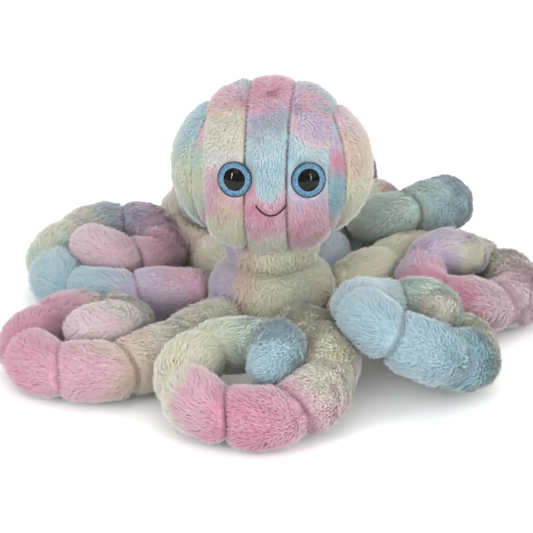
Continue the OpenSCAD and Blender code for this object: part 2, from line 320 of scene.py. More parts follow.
def plant_pile(name: str, cloth: Cloth, pile: Pile, seed: int) -> bpy.types.Object:
    """Covers a cloth with pile: small closed tufts of fibre that bend over the way it is combed.

    Args:
        name: name of the piece.
        cloth: the cloth to cover.
        pile: what the pile is like.
        seed: picks where the tufts stand.

    Returns:
        The tufts, as one mesh.
    """
    rng = np.random.default_rng(seed)
    f = cloth.fields()
    a, b, c, d = f[:-1, :-1], f[1:, :-1], f[1:, 1:], f[:-1, 1:]
    area = np.linalg.norm(np.cross(c[..., :3] - a[..., :3], d[..., :3] - b[..., :3]), axis=-1) / 2
    weight = area * (a + b + c + d)[..., 11] / 4 * pile.density
    heap = np.cumsum(weight.ravel())
    count = min(int(heap[-1]), pile.most)
    cell = np.searchsorted(heap, (np.arange(count) + rng.random(count)) / count * heap[-1])
    row, col = np.unravel_index(np.minimum(cell, weight.size - 1), weight.shape)
    s, t = rng.random((2, count, 1))
    at = (1 - s) * (1 - t) * a[row, col] + s * (1 - t) * b[row, col]
    at += s * t * c[row, col] + (1 - s) * t * d[row, col]
    root, normal, along, length, lean, sole, place = (
        at[:, :3], unit(at[:, 3:6]), at[:, 9], at[:, 10], at[:, 12], at[:, 13], at[:, 14:16],
    )
    comb = at[:, 6:9] - normal * np.sum(at[:, 6:9] * normal, 1, keepdims=True)
    comb = unit(comb)
    turn = pile.clump * ripple(root, pile.clump_size, seed % 7) + rng.normal(0, pile.spread, count)
    turn = turn[:, None]
    heading = np.cos(turn) * comb + np.sin(turn) * np.cross(normal, comb)
    stand = 1 + 0.25 * ripple(root, pile.clump_size * 0.7, 11 + seed % 5)
    bow = np.radians(np.clip(pile.lean * lean * stand + rng.normal(0, 6, count), 0, 84))[:, None]
    low = np.cos(bow * 0.65) * normal + np.sin(bow * 0.65) * heading
    high = np.cos(bow * 1.25) * normal + np.sin(bow * 1.25) * heading
    reach = (pile.length * length * rng.uniform(0.72, 1.12, count))[:, None]
    half = (pile.width * rng.uniform(0.75, 1.2, count) * np.clip(length, 0.55, 1))[:, None]
    foot = root - normal * pile.sunk
    middle = foot + low * (reach * 0.5 + pile.sunk)
    tip = middle + high * reach * 0.5
    side = unit(np.cross(low, heading + 0.01 * normal))
    back = np.cross(low, side)
    spokes = [np.radians(90 + 120 * k) for k in range(3)]
    out = [math.cos(x) * side + 0.7 * math.sin(x) * back for x in spokes]
    corners = [foot + half * o for o in out] + [middle + 0.72 * half * o for o in out] + [tip]
    points = np.stack(corners, 1).reshape(-1, 3)
    points[:, 2] = np.maximum(points[:, 2], pile.floor)
    soft = unit(normal + heading * 0.08)
    shading = np.stack([unit(soft + 0.16 * o) for o in out] * 2 + [unit(soft + 0.12 * high)], 1)
    base = np.arange(count)[:, None, None] * TUFT_POINTS
    walls = [[k, (k + 1) % 3, 3 + (k + 1) % 3, 3 + k] for k in range(3)]
    ends = [[2, 1, 0]] + [[3 + k, 3 + (k + 1) % 3, 6] for k in range(3)]
    faces = [(base + np.array(walls)).reshape(-1, 4), (base + np.array(ends)).reshape(-1, 3)]
    # tip runs from 0 at the root to 1 at the tip; the material paints shade at the roots from it
    lift = np.tile([0.0, 0.0, 0.0, 0.5, 0.5, 0.5, 1.0], count)
    spot = np.repeat(place, TUFT_POINTS, 0) + lift[:, None] * np.array([0.004, 0.0])
    values = {
        "rest": np.repeat(root, TUFT_POINTS, 0) * MM,
        "along": np.repeat(along, TUFT_POINTS),
        "tip": lift,
        "shade": np.repeat(rng.random(count), TUFT_POINTS),
        "sole": np.repeat(sole, TUFT_POINTS),
        "seam": np.zeros(count * TUFT_POINTS),
    }
    return new_piece(name, points, faces, values, spot, shading.reshape(-1, 3))


def upholster(
    name: str,
    cloth: Cloth,
    rings: Array,
    values: dict[str, Array],
    finish: bpy.types.Material,
    pile: Pile,
    seed: int,
) -> tuple[bpy.types.Object, bpy.types.Object]:
    """Makes the closed skin of a soft piece, and the pile on its cloth.

    Args:
        name: name that both pieces start with.
        cloth: the cloth that carries the pile.
        rings: points of the whole skin, ring by ring.
        values: what the plush material reads at each point of the skin.
        finish: the plush material.
        pile: what the pile is like.
        seed: picks where the tufts stand.

    Returns:
        The skin and the pile.
    """
    points, faces = loft_faces(rings)
    skin = new_piece(f"{name}_skin", points, faces, values, loft_uvs(*rings.shape[:2]))
    tufts = plant_pile(f"{name}_pile", cloth, pile, seed)
    for piece in (skin, tufts):
        piece.data.materials.append(finish)
    return skin, tufts


# ---- shader groups -------------------------------------------------------------------------------


def new_group(
    name: str, inputs: dict[str, tuple[str, object]], outputs: dict[str, str]
) -> bpy.types.NodeTree:
    """Starts a shader node group.

    Args:
        name: name of the group.
        inputs: socket kind and default value of each input.
        outputs: socket kind of each output.

    Returns:
        The group, with its input and output nodes in place.
    """
    group = bpy.data.node_groups.new(name, "ShaderNodeTree")
    for key, (kind, value) in inputs.items():
        socket = group.interface.new_socket(key, in_out="INPUT", socket_type=kind)
        if value is not None:
            socket.default_value = value
    for key, kind in outputs.items():
        group.interface.new_socket(key, in_out="OUTPUT", socket_type=kind)
    group.nodes.new("NodeGroupInput")
    group.nodes.new("NodeGroupOutput")
    return group


@dataclass
class Wiring:
    """Short ways to add and join nodes in a tree."""

    tree: bpy.types.NodeTree

    def add(self, kind: str, **settings: object) -> bpy.types.Node:
        """Adds a node of that kind and sets its properties."""
        node = self.tree.nodes.new(kind)
        for key, value in settings.items():
            setattr(node, key, value)
        return node

    def put(self, source: object, target: bpy.types.NodeSocket) -> None:
        """Links a socket to the target, or sets the target to a number or colour."""
        if isinstance(source, bpy.types.NodeSocket):
            self.tree.links.new(source, target)
        else:
            target.default_value = source

    def math(self, operation: str, a: object, b: object = 0.0, clamp: bool = False) -> bpy.types.NodeSocket:
        """The result of a Math node."""
        node = self.add("ShaderNodeMath", operation=operation, use_clamp=clamp)
        self.put(a, node.inputs[0])
        self.put(b, node.inputs[1])
        return node.outputs[0]

    def blend(self, share: object, a: object, b: object, mode: str = "MIX") -> bpy.types.NodeSocket:
        """A colour mixed from two."""
        node = self.add("ShaderNodeMix", data_type="RGBA", blend_type=mode)
        self.put(share, node.inputs[0])
        self.put(a, node.inputs[6])
        self.put(b, node.inputs[7])
        return node.outputs[2]

    def noise(self, place: object, scale: float, detail: float = 2.0) -> bpy.types.NodeSocket:
        """The value of a noise texture."""
        node = self.add("ShaderNodeTexNoise")
        self.put(place, node.inputs["Vector"])
        node.inputs["Scale"].default_value = scale
        node.inputs["Detail"].default_value = detail
        return node.outputs["Fac"]

    def attribute(self, name: str, output: str = "Fac") -> bpy.types.NodeSocket:
        """An attribute of the mesh."""
        return self.add("ShaderNodeAttribute", attribute_name=name).outputs[output]

    def bump(self, height: object, strength: float, distance: float) -> bpy.types.NodeSocket:
        """The normal of a Bump node over that height."""
        node = self.add("ShaderNodeBump")
        node.inputs["Strength"].default_value = strength
        node.inputs["Distance"].default_value = distance
        self.put(height, node.inputs["Height"])
        return node.outputs["Normal"]


def dye_flow_group() -> bpy.types.NodeTree:
    """Group that shifts a place in the dye, so that colours run into each other unevenly."""
    group = new_group(
        "DyeFlow",
        {
            "Place": ("NodeSocketVector", None),
            "Along": ("NodeSocketFloat", 0.5),
            "Wander": ("NodeSocketFloat", 0.1),
        },
        {"Stop": "NodeSocketFloat"},
    )
    w = Wiring(group)
    inp, out = group.nodes["Group Input"], group.nodes["Group Output"]
    wide = w.math("SUBTRACT", w.noise(inp.outputs["Place"], 24.0, 2.0), 0.5)
    fine = w.math("SUBTRACT", w.noise(inp.outputs["Place"], 90.0, 3.0), 0.5)
    shift = w.math("ADD", wide, w.math("MULTIPLY", fine, 0.45))
    shift = w.math("MULTIPLY", shift, inp.outputs["Wander"])
    w.put(w.math("ADD", inp.outputs["Along"], shift, clamp=True), out.inputs["Stop"])
    return group


def pile_tone_group() -> bpy.types.NodeTree:
    """Group that paints shade at the pile's roots and in the valleys along the seams, and lets the dye fade
    on the sole.
    """
    group = new_group(
        "PileTone",
        {
            "Color": ("NodeSocketColor", (0.8, 0.8, 0.8, 1.0)),
            "Sole Color": ("NodeSocketColor", (0.8, 0.8, 0.8, 1.0)),
            "Place": ("NodeSocketVector", None),
            "Tip": ("NodeSocketFloat", 0.0),
            "Shade": ("NodeSocketFloat", 0.5),
            "Sole": ("NodeSocketFloat", 0.0),
            "Seam": ("NodeSocketFloat", 0.0),
        },
        {"Color": "NodeSocketColor", "Roughness": "NodeSocketFloat", "Height": "NodeSocketFloat"},
    )
    w = Wiring(group)
    inp, out = group.nodes["Group Input"], group.nodes["Group Output"]
    patch = w.noise(inp.outputs["Place"], 160.0, 3.0)
    worn = w.blend(inp.outputs["Sole"], inp.outputs["Color"], inp.outputs["Sole Color"])
    fade = w.math("MULTIPLY", w.math("SUBTRACT", patch, 0.35, clamp=True), 0.55)
    pale = w.blend(fade, worn, Dye.WHITE.linear())
    # painted shade: roots come out darker and more saturated than tips, as if deep in the pile; the whole
    # dye is also dimmed
    root_shade_and_dim = w.math("ADD", w.math("MULTIPLY", inp.outputs["Tip"], 0.02), 0.66)
    grain = w.math("ADD", w.math("MULTIPLY", inp.outputs["Shade"], 0.06), 0.97)
    tone = w.add("ShaderNodeHueSaturation")
    w.put(w.math("SUBTRACT", 1.0, w.math("MULTIPLY", inp.outputs["Tip"], 0.12)), tone.inputs["Saturation"])
    w.put(w.math("MULTIPLY", root_shade_and_dim, grain), tone.inputs["Value"])
    w.put(pale, tone.inputs["Color"])
    # painted shadow: the seam mask darkens the cloth in the valleys along the seams
    dark = w.blend(1.0, tone.outputs["Color"], (0.30, 0.24, 0.27, 1.0), "MULTIPLY")
    w.put(w.blend(inp.outputs["Seam"], tone.outputs["Color"], dark), out.inputs["Color"])
    w.put(w.math("ADD", w.math("MULTIPLY", patch, 0.15), 0.80), out.inputs["Roughness"])
    w.put(w.noise(inp.outputs["Place"], 900.0, 2.0), out.inputs["Height"])
    return group


def grain_group() -> bpy.types.NodeTree:
    """Group for moulded and woven finishes: a fine, even grain as a mask and as a height."""
    group = new_group(
        "FineGrain",
        {"Place": ("NodeSocketVector", None), "Scale": ("NodeSocketFloat", 600.0)},
        {"Mask": "NodeSocketFloat", "Height": "NodeSocketFloat"},
    )
    w = Wiring(group)
    inp, out = group.nodes["Group Input"], group.nodes["Group Output"]
    node = w.add("ShaderNodeTexNoise")
    w.put(inp.outputs["Place"], node.inputs["Vector"])
    w.put(inp.outputs["Scale"], node.inputs["Scale"])
    w.put(node.outputs["Fac"], out.inputs["Height"])
    w.put(w.noise(inp.outputs["Place"], 60.0, 4.0), out.inputs["Mask"])
    return group


@dataclass
class Groups:
    """The shader groups, each made once."""

    flow: bpy.types.NodeTree = field(default_factory=dye_flow_group)
    tone: bpy.types.NodeTree = field(default_factory=pile_tone_group)
    grain: bpy.types.NodeTree = field(default_factory=grain_group)


# ---- finishes ------------------------------------------------------------------------------------


def start_material(name: str) -> tuple[bpy.types.Material, Wiring, bpy.types.Node]:
    """Starts a node material.

    Args:
        name: name of the material.

    Returns:
        The material, the wiring of its tree, and its Principled node.
    """
    material = bpy.data.materials.new(name)
    material.use_nodes = True
    return material, Wiring(material.node_tree), material.node_tree.nodes["Principled BSDF"]


@dataclass(frozen=True)
class Plush:
    """Tie-dyed plush: dyes in order along a piece, running into each other."""

    name: str
    dyes: Dyes
    wander: float = 0.17
    sole: Dye = Dye.WHITE

    def build(self, groups: Groups) -> bpy.types.Material:
        """Makes the material."""
        material, w, shader = start_material(self.name)
        place = w.attribute("rest", "Vector")
        flow = w.add("ShaderNodeGroup", node_tree=groups.flow)
        w.put(place, flow.inputs["Place"])
        w.put(w.attribute("along"), flow.inputs["Along"])
        flow.inputs["Wander"].default_value = self.wander
        ramp = w.add("ShaderNodeValToRGB")
        ramp.color_ramp.interpolation = "EASE"
        w.put(flow.outputs["Stop"], ramp.inputs["Fac"])
        elements = ramp.color_ramp.elements
        while len(elements) < len(self.dyes):
            elements.new(1.0)
        for element, (stop, dye) in zip(elements, self.dyes, strict=True):
            element.position = stop
            element.color = dye.linear()
        tone = w.add("ShaderNodeGroup", node_tree=groups.tone)
        w.put(ramp.outputs["Color"], tone.inputs["Color"])
        tone.inputs["Sole Color"].default_value = self.sole.linear()
        w.put(place, tone.inputs["Place"])
        for key in ("Tip", "Shade", "Sole", "Seam"):
            w.put(w.attribute(key.lower()), tone.inputs[key])
        w.put(tone.outputs["Color"], shader.inputs["Base Color"])
        w.put(tone.outputs["Roughness"], shader.inputs["Roughness"])
        w.put(w.bump(tone.outputs["Height"], 0.5, 0.0006), shader.inputs["Normal"])
        shader.inputs["Specular IOR Level"].default_value = 0.15
        shader.inputs["Sheen Weight"].default_value = 0.55
        shader.inputs["Sheen Roughness"].default_value = 0.5
        return material


@dataclass(frozen=True)
class Moulded:
    """Moulded plastic or thread: one colour with a fine grain and uneven gloss."""

    name: str
    colour: tuple[float, float, float]
    roughness: float = 0.25
    coat: float = 0.0
    grain: float = 900.0
    relief: float = 0.15
    shine: float = 0.5

    def build(self, groups: Groups) -> bpy.types.Material:
        """Makes the material."""
        material, w, shader = start_material(self.name)
        grain = w.add("ShaderNodeGroup", node_tree=groups.grain)
        w.put(w.add("ShaderNodeTexCoord").outputs["Object"], grain.inputs["Place"])
        grain.inputs["Scale"].default_value = self.grain
        base = to_linear(self.colour)
        worn = tuple(min(1.0, c * 1.25 + 0.004) for c in base[:3]) + (1.0,)
        w.put(w.blend(grain.outputs["Mask"], base, worn), shader.inputs["Base Color"])
        spread = w.math("MULTIPLY", grain.outputs["Mask"], self.roughness * 0.5)
        w.put(w.math("ADD", spread, self.roughness * 0.75), shader.inputs["Roughness"])
        w.put(w.bump(grain.outputs["Height"], self.relief, 0.0002), shader.inputs["Normal"])
        shader.inputs["Specular IOR Level"].default_value = self.shine
        shader.inputs["Coat Weight"].default_value = self.coat
        shader.inputs["Coat Roughness"].default_value = 0.04
        return material


@dataclass(frozen=True)
class Glitter:
    """The iris: flakes of glitter under clear plastic, with painted glints on the brightest flakes, darker
    round the pupil and at the rim.
    """

    name: str
    centre: tuple[float, float, float]
    radius: float
    flake: float = 0.0007

    def build(self) -> bpy.types.Material:
        """Makes the material."""
        material, w, shader = start_material(self.name)
        place = w.add("ShaderNodeTexCoord").outputs["Object"]
        away = w.add("ShaderNodeVectorMath", operation="DISTANCE")
        w.put(place, away.inputs[0])
        away.inputs[1].default_value = self.centre
        ring = w.add("ShaderNodeValToRGB")
        w.put(w.math("DIVIDE", away.outputs["Value"], self.radius), ring.inputs["Fac"])
        steps = ((0.64, (0.05, 0.10, 0.18)), (0.70, (0.20, 0.40, 0.54)), (0.84, (0.14, 0.33, 0.52)),
                 (0.93, (0.14, 0.27, 0.40)), (1.0, (0.08, 0.14, 0.20)))
        elements = ring.color_ramp.elements
        while len(elements) < len(steps):
            elements.new(1.0)
        for element, (stop, colour) in zip(elements, steps, strict=True):
            element.position = stop
            element.color = to_linear(colour)
        flakes = w.add("ShaderNodeTexVoronoi")
        w.put(place, flakes.inputs["Vector"])
        flakes.inputs["Scale"].default_value = 1 / self.flake
        spark = w.add("ShaderNodeSeparateColor")
        w.put(flakes.outputs["Color"], spark.inputs["Color"])
        # painted glints: the brightest flakes are lightened towards pale blue
        lit = w.math("POWER", spark.outputs[0], 3.0)
        tinted = w.blend(w.math("MULTIPLY", spark.outputs[1], 0.5), ring.outputs["Color"],
                         to_linear((0.34, 0.50, 0.46)))
        w.put(w.blend(w.math("MULTIPLY", lit, 0.4), tinted, to_linear((0.62, 0.80, 0.90))),
              shader.inputs["Base Color"])
        w.put(w.math("MULTIPLY", spark.outputs[2], 0.35), shader.inputs["Metallic"])
        w.put(w.math("ADD", w.math("MULTIPLY", spark.outputs[1], 0.3), 0.15), shader.inputs["Roughness"])
        w.put(w.bump(flakes.outputs["Distance"], 0.3, 0.0002), shader.inputs["Normal"])
        return material


@dataclass(frozen=True)
class ClearLens:
    """Clear plastic: what lies behind shows through, and the surface mirrors the lights."""

    name: str

    def build(self) -> bpy.types.Material:
        """Makes the material."""
        material, w, shader = start_material(self.name)
        shine = w.add("ShaderNodeBsdfGlossy")
        shine.inputs["Roughness"].default_value = 0.03
        through = w.add("ShaderNodeBsdfTransparent")
        mix = w.add("ShaderNodeMixShader")
        edge = w.add("ShaderNodeFresnel")
        edge.inputs["IOR"].default_value = 1.33
        inside = w.add("ShaderNodeNewGeometry").outputs["Backfacing"]
        w.put(w.math("MULTIPLY", edge.outputs[0], w.math("SUBTRACT", 1.0, inside)), mix.inputs[0])
        w.put(through.outputs[0], mix.inputs[1])
        w.put(shine.outputs[0], mix.inputs[2])
        output = material.node_tree.nodes["Material Output"]
        w.put(mix.outputs[0], output.inputs["Surface"])
        material.node_tree.nodes.remove(shader)
        return material


def even(*dyes: Dye) -> Dyes:
    """Dyes at even steps from 0 to 1."""
    return tuple((i / (len(dyes) - 1), dye) for i, dye in enumerate(dyes))


def lobes(*stops: tuple[float, Dye]) -> Dyes:
    """Dyes placed by lobe number along an arm, from 0 at the body to 8 at the tip."""
    return tuple((place / LOBES, dye) for place, dye in stops)


# ---- arms ----------------------------------------------------------------------------------------


@dataclass(frozen=True)
class ArmPlace:
    """Where an arm lies and how it is dyed.

    Bearing and reach place the coil's middle. Tilt is how far the coil leans, rising towards the
    uphill bearing, and root is the bearing at which the arm is sewn to the body.
    """

    name: str
    bearing: float
    reach: float
    tilt: float
    uphill: float
    root: float
    dyes: Dyes


ARMS = (
    ArmPlace("front", -98, 194, 13, 92, -72, lobes(
        (0, Dye.LEMON), (1.6, Dye.LEMON), (2.5, Dye.CREAM), (3.0, Dye.PINK), (3.9, Dye.ROSE),
        (4.5, Dye.PINK), (4.9, Dye.CREAM), (5.4, Dye.LEMON), (6.1, Dye.LIME), (6.9, Dye.MINT),
        (7.4, Dye.BLUE), (8, Dye.BLUE))),
    ArmPlace("front_left", -153, 196, 4, 30, -130, lobes(
        (0, Dye.LEMON), (1.4, Dye.CREAM), (2.1, Dye.PEACH), (2.7, Dye.PINK), (3.6, Dye.ROSE),
        (4.6, Dye.ROSE), (5.4, Dye.PINK), (6.1, Dye.SAND), (7.0, Dye.CREAM), (8, Dye.PALE_PINK))),
    ArmPlace("left", 147, 192, 12.5, 58, 172, lobes(
        (0, Dye.PINK), (1.0, Dye.LILAC), (1.6, Dye.BLUE), (2.5, Dye.BLUE), (3.0, Dye.MINT),
        (3.7, Dye.LEMON), (4.3, Dye.CREAM), (4.8, Dye.GREY_BLUE), (5.4, Dye.LILAC), (6.2, Dye.PINK),
        (8, Dye.PALE_PINK))),
    ArmPlace("back_left", 101, 206, 40, 22, 115, lobes(
        (0, Dye.LEMON), (1.4, Dye.PEACH), (2.5, Dye.CREAM), (3.2, Dye.PINK), (4.2, Dye.PINK),
        (5.0, Dye.LILAC), (6.0, Dye.BLUE), (7.0, Dye.MINT), (8, Dye.CREAM))),
    ArmPlace("back", 81.8, 285.8, 19.5, 12, 83, lobes(
        (0, Dye.BLUE), (1.6, Dye.BLUE), (2.6, Dye.MINT), (3.6, Dye.LEMON), (4.6, Dye.PINK),
        (6.0, Dye.LILAC), (7.0, Dye.BLUE), (8, Dye.PALE_BLUE))),
    ArmPlace("back_right", 51, 214, 28, -55, 53, lobes(
        (0, Dye.GREY_BLUE), (1.6, Dye.GREY_BLUE), (2.5, Dye.PINK), (3.3, Dye.LILAC), (4.2, Dye.BLUE),
        (5.2, Dye.BLUE), (6.2, Dye.MINT), (7.0, Dye.LEMON), (8, Dye.PINK))),
    ArmPlace("right", 10, 193, 8, 188, 19, lobes(
        (0, Dye.LEMON), (1.1, Dye.LEMON), (1.8, Dye.PEACH), (2.6, Dye.SAND), (3.3, Dye.CREAM),
        (4.3, Dye.PINK), (5.1, Dye.PALE_PINK), (5.8, Dye.ROSE), (6.4, Dye.ROSE), (7.1, Dye.LILAC),
        (8, Dye.CREAM))),
    ArmPlace("front_right", -45, 176, 26, 200, -27, lobes(
        (0, Dye.LEMON), (1.2, Dye.LEMON), (2.2, Dye.LIME), (3.0, Dye.LIME), (3.7, Dye.TEAL),
        (4.5, Dye.BLUE), (6.0, Dye.BLUE), (6.7, Dye.PALE_BLUE), (7.3, Dye.MINT), (8, Dye.CREAM))),
)


@dataclass
class Arm:
    """One stuffed arm: a straight run from the body that curls into a coil, sewn across into lobes.

    The first lobes bend over the joint at the coil's start, the next over the joint before the free
    tip, and the last ride on the tip.
    """

    place: ArmPlace
    number: int
    pile: Pile = Pile()
    arm_r: float = 27.0
    tip_r: float = 19.0
    root_r: float = 18.0
    root_out: float = 62.5
    root_z: float = 42.0
    root_dip: float = 0.15
    root_grow: float = 0.42
    low: float = 25.0
    coil_r: float = 76.0
    coil_min: float = 25.0
    coil_turn: float = 425.0
    coil_power: float = 1.15
    taper_power: float = 1.6
    tip_joint: float = 215.0
    lift: float = 24.0
    lift_from: float = 250.0
    lift_over: float = 100.0
    inset: float = 0.8
    pinch: float = 0.26
    fullness: float = 0.42
    slant: float = 7.0
    ring_step: float = 2.8
    sides: int = 40
    bend_over: float = 20.0
    lobe_counts: tuple[int, int, int] = (2, 4, 2)

    def axes(self) -> tuple[Array, Array, Array]:
        """Directions across the coil, up its slope and square to it."""
        p = self.place
        across = np.array([math.sin(math.radians(p.uphill)), -math.cos(math.radians(p.uphill)), 0.0])
        tilt = math.radians(p.tilt)
        uphill = math.cos(tilt) * flat(p.uphill) + np.array([0.0, 0.0, math.sin(tilt)])
        return across, uphill, np.cross(across, uphill)

    def coil(self, turn: Array) -> Array:
        """Points of the coil's middle line at those turns."""
        p = self.place
        across, uphill, upright = self.axes()
        centre = p.reach * flat(p.bearing)
        centre[2] = self.low + math.sin(math.radians(p.tilt)) * self.coil_r
        left = np.maximum(0.0, 1 - turn / self.coil_turn)
        rho = self.coil_min + (self.coil_r - self.coil_min) * left**self.coil_power
        bearing = np.radians(p.bearing + 90 - turn)
        d = np.stack([np.cos(bearing), np.sin(bearing), np.zeros_like(turn)], -1)
        spiral = (d @ across)[:, None] * across + (d @ flat(p.uphill))[:, None] * uphill
        path = centre + rho[:, None] * spiral
        return path + upright * (self.lift * smooth((turn - self.lift_from) / self.lift_over))[:, None]

    def run(self, u: Array) -> Array:
        """Points of the straight run, from 0 at the body to 1 at the coil."""
        start = self.root_out * flat(self.place.root) + np.array([0.0, 0.0, self.root_z])
        end, ahead = self.coil(np.array([0.0, 1.0]))
        reach = np.linalg.norm(end - start)
        leave = unit(flat(self.place.root) - np.array([0.0, 0.0, self.root_dip])) * reach
        arrive = unit(ahead - end) * reach
        u = u[:, None]
        path = (2 * u**3 - 3 * u**2 + 1) * start + (u**3 - 2 * u**2 + u) * leave
        return path + (3 * u**2 - 2 * u**3) * end + (u**3 - u**2) * arrive

    def trace(self) -> None:
        """Lays the arm's middle line out by its length, with its thickness and lobe numbers."""
        u = np.linspace(0, 1, 60)
        turn = np.linspace(0, self.coil_turn, 240)[1:]
        path = np.concatenate([self.run(u), self.coil(turn)])
        taper = self.arm_r - (self.arm_r - self.tip_r) * (turn / self.coil_turn) ** self.taper_power
        grow = self.root_r + (self.arm_r - self.root_r) * smooth(u / self.root_grow)
        self.path = path
        self.thick = np.concatenate([grow, taper])
        self.far = np.concatenate([[0.0], np.cumsum(np.linalg.norm(np.diff(path, axis=0), axis=1))])
        at_coil = self.far[len(u) - 1]
        at_tip = np.interp(self.tip_joint, np.concatenate([[0.0], turn]), self.far[len(u) - 1 :])
        self.marks = np.array([0.0, at_coil, at_tip, self.far[-1]])
        self.way = unit(np.gradient(path, axis=0))

    def along_path(self, far: Array, rows: Array) -> Array:
        """Values of the middle line, such as its points, at those distances along it."""
        return np.stack([np.interp(far, self.far, rows[:, k]) for k in range(3)], -1)

    def weave(self) -> Cloth:
        """Makes the arm's cloth as rings that lean with the seams, pressed flat on the ground."""
        total = self.far[-1]
        rings = int(total / self.ring_step)
        numbers = np.concatenate([[0], np.cumsum(self.lobe_counts)])
        far = np.linspace(0, total, rings + 1)
        lobe = np.interp(far, self.marks, numbers)
        # rings fall exactly on the seams where the arm's pieces meet
        for cut in (4, 7):
            spot = np.interp(cut, lobe, far)
            far[np.argmin(abs(far - spot))] = spot
        lobe = np.interp(far, self.marks, numbers)
        angle = np.linspace(0, 2 * math.pi, self.sides, endpoint=False)
        calm = smooth(far / 40) * smooth((total - far) / 45)
        skew = far[:, None] + self.slant * calm[:, None] * np.cos(angle)[None, :]
        skew = np.clip(skew, 0, total)
        upright = self.axes()[2]
        centre = self.along_path(skew, self.path)
        way = unit(self.along_path(skew, self.way))
        side = unit(np.cross(way, upright))
        high = np.cross(side, way)
        gap = np.abs(np.sin(math.pi * lobe))
        share = 1 - self.pinch * (1 - gap**self.fullness)
        over = self.tip_r
        end = np.sqrt(np.clip(1 - (1 - np.minimum(1, (total - far) / over)) ** 2, 0.004, 1))
        start = np.sqrt(np.clip(1 - (1 - np.minimum(1, far / 10)) ** 2, 0.05, 1))
        r = (np.interp(far, self.far, self.thick) - self.inset) * share * end * start
        lump = 0.8 * ripple(centre + 30 * np.cos(angle)[None, :, None], 26, self.number)
        to_seam = self.seam_distance(far)
        pucker = 0.7 * np.exp(-((to_seam / 7) ** 2))[:, None] * np.sin(9 * angle + self.number)[None, :]
        reach = r[:, None] + (lump + pucker) * end[:, None]
        points = centre + reach[..., None] * (
            np.cos(angle)[None, :, None] * side + np.sin(angle)[None, :, None] * high
        )
        points[..., 2] = np.maximum(points[..., 2], 0.6)
        under = smooth((-np.sin(angle) - 0.50) / 0.3)[None, :] * smooth((16 - points[..., 2]) / 10)
        close = smooth(to_seam / 8)[:, None] * np.ones_like(skew)
        hidden = smooth((far - 4) / 14)[:, None]
        self.cuts = [int(np.argmin(abs(lobe - cut))) for cut in (4, 7)]
        return Cloth(
            points=points,
            comb=way + 0.25 * np.cross(way, upright),
            along=(lobe / LOBES)[:, None] * np.ones_like(skew),
            length=(0.30 + 0.70 * close) * (1 - 0.55 * under) * (0.7 + 0.3 * end[:, None]),
            density=(0.15 + 0.85 * hidden) * (1 - 0.55 * under) * (0.75 + 0.25 * close),
            lean=0.35 + 0.65 * close,
            sole=under,
            # painted shadow in the valley along each seam
            seam=np.exp(-((to_seam / 2.2) ** 2))[:, None] * np.ones_like(skew),
        )

    def seam_distance(self, far: Array) -> Array:
        """How far each ring is from the nearest seam."""
        numbers = np.concatenate([[0], np.cumsum(self.lobe_counts)])
        seams = np.interp(np.arange(1, LOBES), numbers, self.marks)
        return np.min(np.abs(far[:, None] - seams[None, :]), axis=1)

    def joint(self, name: str) -> tuple[Array, Array]:
        """Where one of the arm's joints is, and which way the arm runs there."""
        found = next(j for j in frame["joints"] if j["name"] == f"arm_{self.place.name}_{name}")
        spot = np.array(found["pos_m"], float)
        near = int(np.argmin(np.linalg.norm(self.path * MM - spot, axis=1)))
        return spot, self.way[near]

    def build(self, groups: Groups) -> list[bpy.types.Object]:
        """Makes the arm's three lengths of skin and pile, hangs the end on the tip's body and leaves the
        two that span a joint where they lie.

        Args:
            groups: the shader groups.

        Returns:
            The pieces.
        """
        name = f"arm_{self.place.name}"
        self.trace()
        cloth = self.weave()
        finish = Plush(f"plush_{name}", self.place.dyes).build(groups)
        rows = [0, *self.cuts, len(cloth.points) - 1]
        curl, tip = f"{name}_curl", f"{name}_tip"
        spans = (
            ("upper", f"{name}_root", ("body", curl), "uncurl"),
            ("middle", curl, (curl, tip), "tip_lift"),
            ("end", tip, (tip,), ""),
        )
        made = []
        for k, (word, node, bodies, joint) in enumerate(spans):
            part = cloth.part(rows[k], rows[k + 1])
            values = {key: with_ends(value) for key, value in part.skin_values().items()}
            skin, tufts = upholster(
                f"{name}_{word}", part, part.points, values, finish, self.pile, 100 * self.number + k
            )
            for piece in (skin, tufts):
                if joint:
                    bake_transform(piece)
                else:
                    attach(piece, bodies[0])
            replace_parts(skin, node)
            made += [skin, tufts]
        return made


# ---- head ----------------------------------------------------------------------------------------


